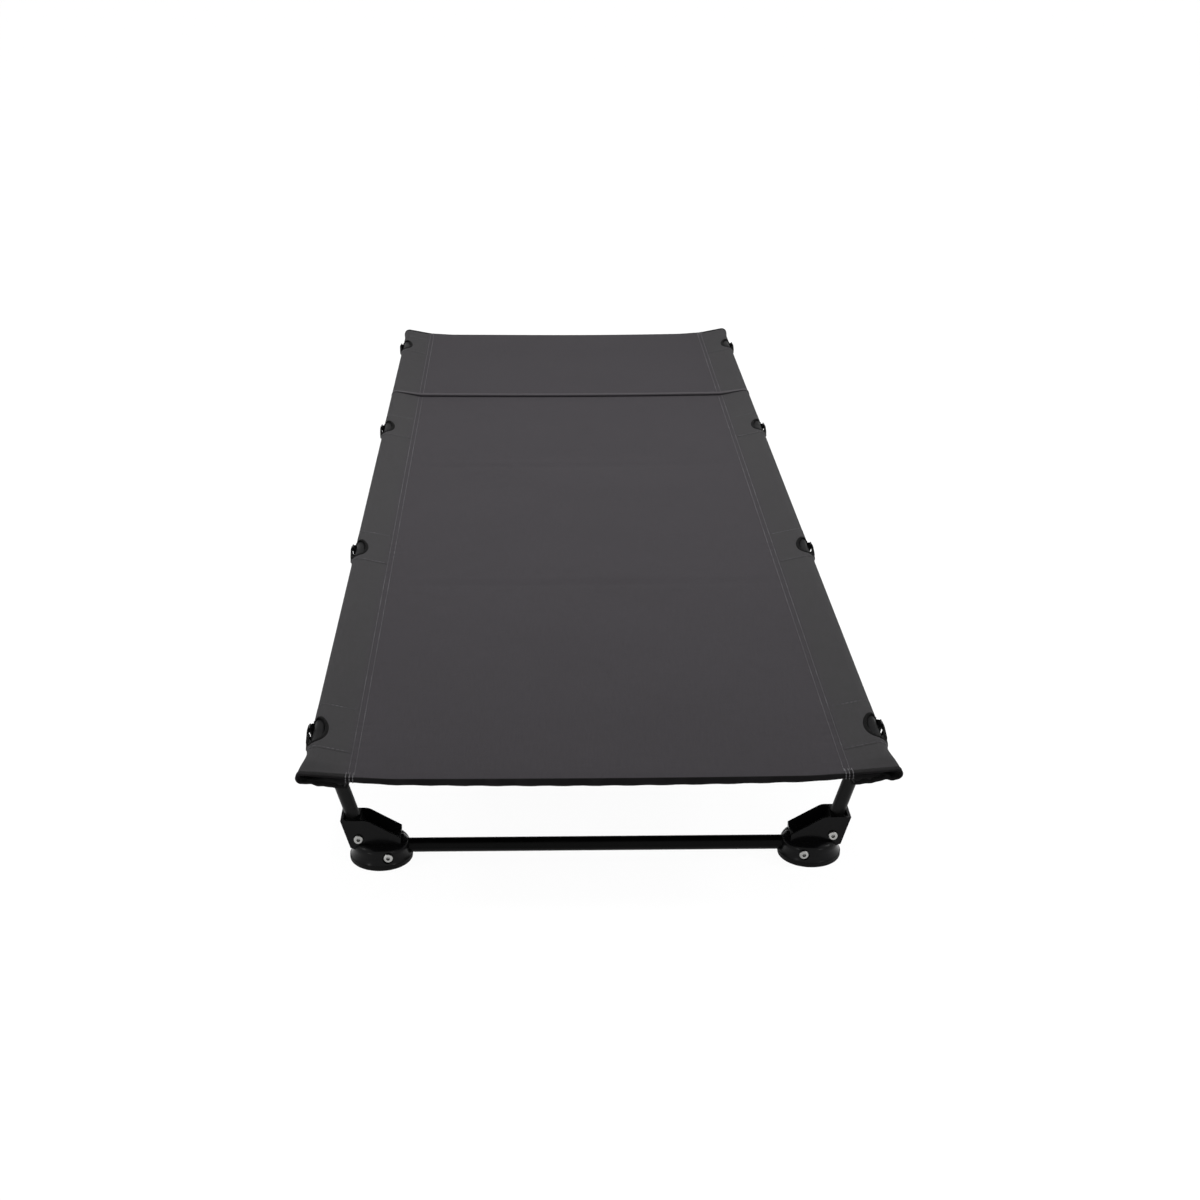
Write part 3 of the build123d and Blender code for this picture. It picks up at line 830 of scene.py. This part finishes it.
def weave_group():
    """Plain weave on the cloth's own run and length: yarns that pass over and under, and uneven dye."""
    tree, given, gives = group_with(
        "plain_weave", [("Yarns per metre", 1400.0), ("Slub", 0.35)], ["Height", "Yarn tone"]
    )
    w = Wiring(tree)
    place = w.on_cloth()
    axes = w.axes(place)
    across = w.math("MULTIPLY", axes["X"], given.outputs["Yarns per metre"])
    along = w.math("MULTIPLY", axes["Y"], given.outputs["Yarns per metre"])
    warp = w.wave(w.math("MULTIPLY", across, math.pi))
    weft = w.wave(w.math("MULTIPLY", along, math.pi))
    cells = w.math("ADD", w.math("FLOOR", across), w.math("FLOOR", along))
    odd = w.math("FLOORED_MODULO", cells, 2.0)
    even = w.math("SUBTRACT", 1.0, odd)

    def woven(on_warp, on_weft):
        return w.math("ADD", w.math("MULTIPLY", on_warp, odd), w.math("MULTIPLY", on_weft, even))

    w.feed(gives.inputs["Height"], woven(warp, weft))
    streaks_along = w.noise(w.stretched(place, (900, 30, 1)), 1.0)
    streaks_across = w.noise(w.stretched(place, (30, 900, 1)), 1.0)
    streaks = w.math("SUBTRACT", woven(streaks_along, streaks_across), 0.5)
    tone = w.math("ADD", w.math("MULTIPLY", streaks, given.outputs["Slub"]), 0.5)
    w.feed(gives.inputs["Yarn tone"], tone)
    return tree


def wear_group():
    """Rubbed edges and fine scuffs on hard surfaces."""
    tree, given, gives = group_with(
        "rubbed_edges", [("Edge width", 0.0012), ("Scuffs per metre", 120.0)], ["Edge", "Scuff"]
    )
    w = Wiring(tree)
    place = w.in_space()
    bevel = w.put("ShaderNodeBevel", samples=4)
    w.feed(bevel.inputs["Radius"], given.outputs["Edge width"])
    plain = w.put("ShaderNodeNewGeometry").outputs["Normal"]
    meet = w.put("ShaderNodeVectorMath", operation="DOT_PRODUCT")
    w.feed(meet.inputs[0], bevel.outputs[0])
    w.feed(meet.inputs[1], plain)
    sharp = w.between(meet.outputs["Value"], 0.96, 0.80)
    patchy = w.between(w.noise(place, given.outputs["Scuffs per metre"], 4.0), 0.42, 0.72)
    w.feed(gives.inputs["Edge"], w.math("MULTIPLY", sharp, patchy))
    fine = w.math("MULTIPLY", given.outputs["Scuffs per metre"], 9.0)
    lines = w.noise(w.stretched(place, (1.0, 0.08, 1.0)), fine, 3.0)
    w.feed(gives.inputs["Scuff"], w.math("MULTIPLY", w.between(lines, 0.62, 0.74), patchy))
    return tree


def grain_group():
    """Fine grain through space, and a slow change of tone."""
    tree, given, gives = group_with("fine_grain", [("Grains per metre", 2500.0)], ["Height", "Tone"])
    w = Wiring(tree)
    place = w.in_space()
    grains = given.outputs["Grains per metre"]
    w.feed(gives.inputs["Height"], w.noise(place, grains, 1.0))
    w.feed(gives.inputs["Tone"], w.noise(place, w.math("MULTIPLY", grains, 0.012), 3.0))
    return tree


weave = weave_group()
wear = wear_group()
grain = grain_group()


# Finishes

def finish(name, roughness, metallic=0.0):
    """A new material with its shader: returns the material, its wiring and the shader's sockets."""
    material = bpy.data.materials.new(name)
    material.use_nodes = True
    w = Wiring(material.node_tree)
    shader = material.node_tree.nodes["Principled BSDF"]
    shader.inputs["Roughness"].default_value = roughness
    shader.inputs["Metallic"].default_value = metallic
    return material, w, shader.inputs


def placed(w, tree, **values):
    """A node group in a material, with its own values."""
    node = w.put("ShaderNodeGroup", node_tree=tree)
    for label, value in values.items():
        node.inputs[label.replace("_", " ")].default_value = value
    return node.outputs


def bumped(w, sockets, height, distance, strength):
    """Feed a height to the shader as bump."""
    node = w.put("ShaderNodeBump")
    node.inputs["Strength"].default_value = strength
    node.inputs["Distance"].default_value = distance
    w.feed(node.inputs["Height"], height)
    w.feed(sockets["Normal"], node.outputs[0])


def cloth_finish():
    """Dark grey woven cloth with a slight sheen, plainer grey on its sleeves, and a painted highlight on the
    seam's crest.
    """
    sleeve_fade = (stitch_x - 0.004, stitch_x + 0.012)
    crest_front = (seam_y + 0.0012, seam_y + 0.0026)
    crest_back = (seam_y + 0.0052, seam_y + 0.0066)
    crest_highlight_share = 0.55
    sheet_shade = colour(75, 72, 76)
    sleeve_shade = colour(74, 74, 74)
    cloud_shade = colour(68, 65, 68)
    pale_yarn = colour(88, 85, 89)
    painted_yarn_gap_shade = colour(44, 42, 45)
    painted_crest_highlight = colour(122, 119, 123)
    material, w, sockets = finish("sling_cloth", 0.8)
    yarn = placed(w, weave, Yarns_per_metre=1400.0, Slub=0.5)
    place = w.on_cloth()
    axes = w.axes(place)
    on_sleeve = w.between(w.math("ABSOLUTE", axes["X"]), *sleeve_fade)
    base = w.mixed(on_sleeve, sheet_shade, sleeve_shade)
    cloud = w.noise(place, 5.0, 4.0, 0.6)
    base = w.mixed(w.between(cloud, 0.3, 0.7, 0.0, 0.25), base, cloud_shade)
    base = w.mixed(w.between(yarn["Yarn tone"], 0.35, 0.65, 0.0, 0.5), base, pale_yarn)
    # painted shade: darker colour where the weave is low, between the yarns
    base = w.mixed(w.between(yarn["Height"], 0.0, 0.45, 0.45, 0.0), base, painted_yarn_gap_shade)
    # painted highlight: a paler band of colour across the front and top of the seam's fold, where light
    # falls
    past_front = w.between(axes["Y"], *crest_front)
    before_back = w.between(axes["Y"], *crest_back, crest_highlight_share, 0.0)
    base = w.mixed(w.math("MULTIPLY", past_front, before_back), base, painted_crest_highlight)
    w.feed(sockets["Base Color"], base)
    w.feed(sockets["Roughness"], w.between(yarn["Height"], 0.0, 1.0, 0.92, 0.74))
    sockets["Sheen Weight"].default_value = 0.08
    sockets["Sheen Roughness"].default_value = 0.5
    sockets["Specular IOR Level"].default_value = 0.02
    bumped(w, sockets, yarn["Height"], 0.00012, 0.7)
    return material


def tape_finish(name, shade, ribs_per_metre):
    """Dark woven tape with fine ribs, and painted shade in the grooves between them."""
    material, w, sockets = finish(name, 0.75)
    axes = w.axes(w.in_space())
    diagonal = w.math("ADD", w.math("ADD", axes["X"], axes["Y"]), axes["Z"])
    rib = w.wave(w.math("MULTIPLY", diagonal, ribs_per_metre * math.pi))
    tone = placed(w, grain, Grains_per_metre=4000.0)
    # painted shade: darker colour in the grooves between the ribs
    base = w.mixed(w.between(rib, 0.0, 0.6, 0.6, 0.0), colour(*shade), scaled(shade, 0.4))
    base = w.mixed(w.between(tone["Tone"], 0.35, 0.7, 0.0, 0.4), base, scaled(shade, 1.33))
    w.feed(sockets["Base Color"], base)
    w.feed(sockets["Roughness"], w.between(tone["Height"], 0.3, 0.7, 0.66, 0.85))
    sockets["Sheen Weight"].default_value = 0.05
    sockets["Specular IOR Level"].default_value = 0.02
    bumped(w, sockets, rib, 0.00015, 0.8)
    return material


def thread_finish(name, shade):
    """Grey sewing thread with a twist, in places as dark as the cloth."""
    cloth_shade = colour(76, 74, 77)
    material, w, sockets = finish(name, 0.6)
    place = w.in_space()
    axes = w.axes(place)
    twist = w.math("ADD", w.math("MULTIPLY", axes["X"], 3000.0), w.math("MULTIPLY", axes["Y"], 9000.0))
    ply = w.wave(twist)
    lit = w.mixed(ply, scaled(shade, 0.8), colour(*shade))
    uneven = w.between(w.noise(place, 45.0, 2.0), 0.44, 0.64, 0.75, 0.0)
    w.feed(sockets["Base Color"], w.mixed(uneven, lit, cloth_shade))
    w.feed(sockets["Roughness"], w.between(ply, 0.0, 1.0, 0.7, 0.5))
    bumped(w, sockets, ply, 0.0001, 0.6)
    return material


def hard_finish(
    name, shade, roughness, grains, grain_depth, worn, edge=0.5, metallic=0.0, gloss=0.5, recess_shade=None
):
    """Moulded, anodised or plated surface: fine grain, rubbed edges, scuffs, and painted shade in its
    recesses.
    """
    material, w, sockets = finish(name, roughness, metallic)
    fine = placed(w, grain, Grains_per_metre=grains)
    rubbed = placed(w, wear, Scuffs_per_metre=120.0)
    paler = colour(*[value * 1.18 + 2 for value in shade])
    base = w.mixed(w.between(fine["Tone"], 0.3, 0.7), colour(*shade), paler)
    base = w.mixed(w.math("MULTIPLY", rubbed["Scuff"], 0.25), base, colour(*worn))
    base = w.mixed(w.math("MULTIPLY", rubbed["Edge"], edge), base, colour(*worn))
    if recess_shade:
        # painted shade: the colour turns to the recess tone where ambient occlusion finds the surface closed
        # in
        shade_occlusion = w.put("ShaderNodeAmbientOcclusion", samples=8)
        shade_occlusion.inputs["Distance"].default_value = recess_shade_reach
        base = w.mixed(w.between(shade_occlusion.outputs["AO"], 0.35, 0.85, 0.9, 0.0), base, colour(*recess_shade))
    w.feed(sockets["Base Color"], base)
    uneven = w.between(fine["Tone"], 0.25, 0.75, roughness - 0.05, roughness + 0.07)
    w.feed(sockets["Roughness"], w.math("ADD", uneven, w.math("MULTIPLY", rubbed["Scuff"], 0.12)))
    sockets["Specular IOR Level"].default_value = gloss
    bumped(w, sockets, fine["Height"], grain_depth, 0.6)
    return material


def cord_finish():
    """Black braided cord with grey flecks."""
    material, w, sockets = finish("elastic_cord", 0.7)
    braid = w.put("ShaderNodeTexVoronoi")
    w.feed(braid.inputs["Vector"], w.stretched(w.in_space(), (1.0, 0.4, 1.0)))
    braid.inputs["Scale"].default_value = 1500.0
    strand = braid.outputs["Distance"]
    base = w.mixed(w.between(strand, 0.1, 0.6), colour(90, 90, 90), colour(18, 18, 18))
    w.feed(sockets["Base Color"], base)
    w.feed(sockets["Roughness"], w.between(strand, 0.0, 0.8, 0.6, 0.85))
    bumped(w, sockets, strand, 0.0002, 0.7)
    return material


# reach of the painted shade in recesses
recess_shade_reach = 0.003
tube_grains = 3500  # per metre, as the next three
plastic_grains = 2200
rubber_grains = 1800
steel_grains = 3000
worn_tube = (120, 120, 122)

sling_cloth = cloth_finish()
binding_tape = tape_finish("binding_tape", (37, 36, 37), 900)
notch_binding = tape_finish("notch_binding", (15, 15, 15), 900)
seam_thread = thread_finish("seam_thread", (128, 127, 131))
tack_thread = thread_finish("tack_thread", (150, 149, 153))
black_rail = hard_finish(
    "black_rail", (9, 9, 10), roughness=0.5, grains=tube_grains, grain_depth=0.00002,
    worn=worn_tube, gloss=0.04,
)
black_tube = hard_finish(
    "black_tube", (5, 5, 5), roughness=0.30, grains=tube_grains, grain_depth=0.00001,
    worn=worn_tube, gloss=0.06,
)
grey_tube = hard_finish(
    "grey_tube", (25, 25, 25), roughness=0.36, grains=tube_grains, grain_depth=0.00001,
    worn=worn_tube, gloss=0.10,
)
bare_tube = hard_finish(
    "bare_tube", (196, 197, 199), roughness=0.32, grains=tube_grains, grain_depth=0.00002,
    worn=(225, 225, 225), metallic=1.0,
)
black_plastic = hard_finish(
    "black_plastic", (17, 17, 18), roughness=0.20, grains=plastic_grains, grain_depth=0.00001,
    worn=(80, 80, 80), edge=0.35, gloss=0.10,
)
matt_plastic = hard_finish(
    "matt_plastic", (7, 7, 7), roughness=0.5, grains=plastic_grains, grain_depth=0.00002,
    worn=(60, 60, 60), edge=0.3, gloss=0.03,
)
sole_rubber = hard_finish(
    "sole_rubber", (18, 18, 18), roughness=0.55, grains=rubber_grains, grain_depth=0.00008,
    worn=(58, 57, 55), edge=0.3, gloss=0.08,
)
# bolts get painted shade in their hex sockets and round their heads
zinc_steel = hard_finish(
    "zinc_steel", (146, 146, 144), roughness=0.30, grains=steel_grains, grain_depth=0.00001,
    worn=(200, 200, 198), metallic=1.0, recess_shade=(30, 30, 30),
)
elastic_cord = cord_finish()

# What a node of the frame is called, and its finish: the first word that fits counts; the rest is plastic
finish_words = (
    ("foot_pads", sole_rubber),
    ("foot_bolts", zinc_steel),
    ("ferrules", bare_tube),
    ("cords", elastic_cord),
    ("knuckle", matt_plastic),
    ("rail_section", black_rail),
    ("arm_tube", grey_tube),
    ("tube", black_tube),
    ("", black_plastic),
)
for node_name, node in nodes.items():
    node.data.materials.clear()
    node.data.materials.append(next(material for word, material in finish_words if word in node_name))


# The dressed bed

def dressed(piece, material):
    """Give a new piece its material and slot, and let it ride on the bed."""
    piece.data.materials.clear()
    piece.data.materials.append(material)
    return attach(piece, "bed")


def sewn(name, parts, material):
    """A piece of tape, cloth or thread on the bed, from one or more closed parts."""
    return dressed(facing_out(new_piece(name, *joined(parts))), material)


main_cloth = cloth_panel("sling_main_cloth", -bed_end + end_inset, seam_y)
dressed(main_cloth, sling_cloth)
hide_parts("sling_main_panel")
head_cloth = cloth_panel("sling_head_cloth", seam_y, bed_end - end_inset, rib=True)
dressed(head_cloth, sling_cloth)
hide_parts("sling_head_panel")

end_parts = [end_strip(end) for end in ends]
end_parts += [mouth_tape(side, end) for _, side in sides for end in ends]
end_tapes = sewn("end_tapes", end_parts, binding_tape)
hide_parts("end_bindings")

sewn_on = {"main": [], "head": []}
for number, place in enumerate(leg_places, start=1):
    panel = "head" if place > seam_y else "main"
    for side_name, side in sides:
        tapes = [notch_tape(side, place), notch_strap(side, place)]
        tape = sewn(f"{side_name}_notch_tape_{number}", tapes, notch_binding)
        layer, runs = notch_patch(side, place)
        patch = sewn(f"{side_name}_notch_patch_{number}", [layer], sling_cloth)
        lay_flat(patch, runs)
        rows = patch_seam(side, place)
        seam = sewn(f"{side_name}_patch_stitching_{number}", rows, seam_thread)
        sewn_on[panel] += [tape, patch, seam]
for side_name, side in sides:
    rows = sleeve_seam(side, False) + sleeve_seam(side, True)
    seam = sewn(f"{side_name}_sleeve_stitching", rows, seam_thread)
    rows = corner_tacks(side, -1) + corner_tacks(side, 1)
    tacks = sewn(f"{side_name}_corner_tacks", rows, tack_thread)
    sewn_on["main"] += [seam, tacks]

# Studio
floor_size = 30.0
floor_shade = (0.8, 0.8, 0.8, 1)
floor_glow = 0.82
floor_clear = 0.75  # share of what lies below the floor that shows through it, as a leg set pulled down
world_light = 0.24
overhead_aim = (0, 0.25, 0.1)
side_aim = (0, -0.8, 0.1)
left_foot_aim = (-0.25, -0.86, 0.03)
right_foot_aim = (0.25, -0.86, 0.03)
overhead_lamp = (1.0, 1.2)  # width and length, as the next two
side_lamp = (0.30, 0.30)
front_lamp = (0.28, 0.28)


def seen_or_mirrored(w):
    """1 for what the camera, a reflection or clear material sees, and 0 for light that falls on the bed."""
    path = w.put("ShaderNodeLightPath").outputs
    mirrored = w.math("MAXIMUM", path["Is Glossy Ray"], path["Is Transmission Ray"])
    return w.math("MAXIMUM", path["Is Camera Ray"], mirrored)


def studio_floor():
    """A pale, milky floor that shows white to the eye and keeps the shadow."""
    half = floor_size / 2
    corners = [(-half, -half, 0), (half, -half, 0), (half, half, 0), (-half, half, 0)]
    floor = new_piece("studio_floor", corners, [(0, 1, 2, 3)])
    material = bpy.data.materials.new("pale_floor")
    material.use_nodes = True
    w = Wiring(material.node_tree)
    w.tree.nodes.clear()
    glow = w.put("ShaderNodeEmission")
    w.feed(glow.inputs["Strength"], w.math("MULTIPLY", seen_or_mirrored(w), floor_glow))
    matt = w.put("ShaderNodeBsdfDiffuse")
    matt.inputs["Color"].default_value = floor_shade
    both = w.put("ShaderNodeAddShader")
    w.feed(both.inputs[0], glow.outputs[0])
    w.feed(both.inputs[1], matt.outputs[0])
    milky = w.put("ShaderNodeMixShader")
    seen = w.put("ShaderNodeLightPath").outputs["Is Camera Ray"]
    w.feed(milky.inputs[0], w.math("MULTIPLY", seen, floor_clear))
    w.feed(milky.inputs[1], both.outputs[0])
    w.feed(milky.inputs[2], w.put("ShaderNodeBsdfTransparent").outputs[0])
    w.feed(w.put("ShaderNodeOutputMaterial").inputs["Surface"], milky.outputs[0])
    floor.data.materials.append(material)


def studio_world():
    """Even light from all round, white where it is seen."""
    world = bpy.data.worlds.new("studio")
    bpy.context.scene.world = world
    world.use_nodes = True
    w = Wiring(world.node_tree)
    back = world.node_tree.nodes["Background"]
    back.inputs["Color"].default_value = (1, 1, 1, 1)
    w.feed(back.inputs["Strength"], w.between(seen_or_mirrored(w), 0.0, 1.0, world_light, 1.0))


def soft_light(name, place, target, size, power):
    """A rectangular lamp at a place, turned to a target."""
    lamp = bpy.data.lights.new(name, "AREA")
    lamp.shape = "RECTANGLE"
    lamp.size, lamp.size_y = size
    lamp.energy = power
    holder = bpy.data.objects.new(name, lamp)
    holder.location = place
    holder.rotation_euler = (Vector(target) - Vector(place)).to_track_quat("-Z", "Y").to_euler()
    bpy.context.scene.collection.objects.link(holder)


studio_floor()
studio_world()
soft_light("overhead_light", (0.0, 0.25, 2.15), overhead_aim, overhead_lamp, power=21)
soft_light("left_light", (-2.1, -0.95, 1.7), side_aim, side_lamp, power=4.4)
soft_light("right_light", (2.1, -0.95, 1.5), side_aim, side_lamp, power=5.6)
soft_light("front_left_light", (-1.75, -2.5, 0.55), left_foot_aim, front_lamp, power=2.6)
soft_light("front_right_light", (1.65, -2.5, 0.95), right_foot_aim, front_lamp, power=2.6)

# Camera at the photograph's viewing angle
camera_place = (-0.0697, -2.7652, 1.0724)
camera_tilt = 21.657  # degrees below level
camera_turn = -1.0  # degrees about the upright, from looking along the bed
camera = bpy.data.cameras.new("camera")
camera.sensor_width = 36.0
camera.lens = 58.59
camera.shift_x = 0.0306
camera_holder = bpy.data.objects.new("camera", camera)
camera_holder.location = camera_place
camera_holder.rotation_euler = (math.radians(90 - camera_tilt), 0, math.radians(camera_turn))
bpy.context.scene.collection.objects.link(camera_holder)
bpy.context.scene.camera = camera_holder
bpy.context.scene.view_settings.view_transform = "Standard"
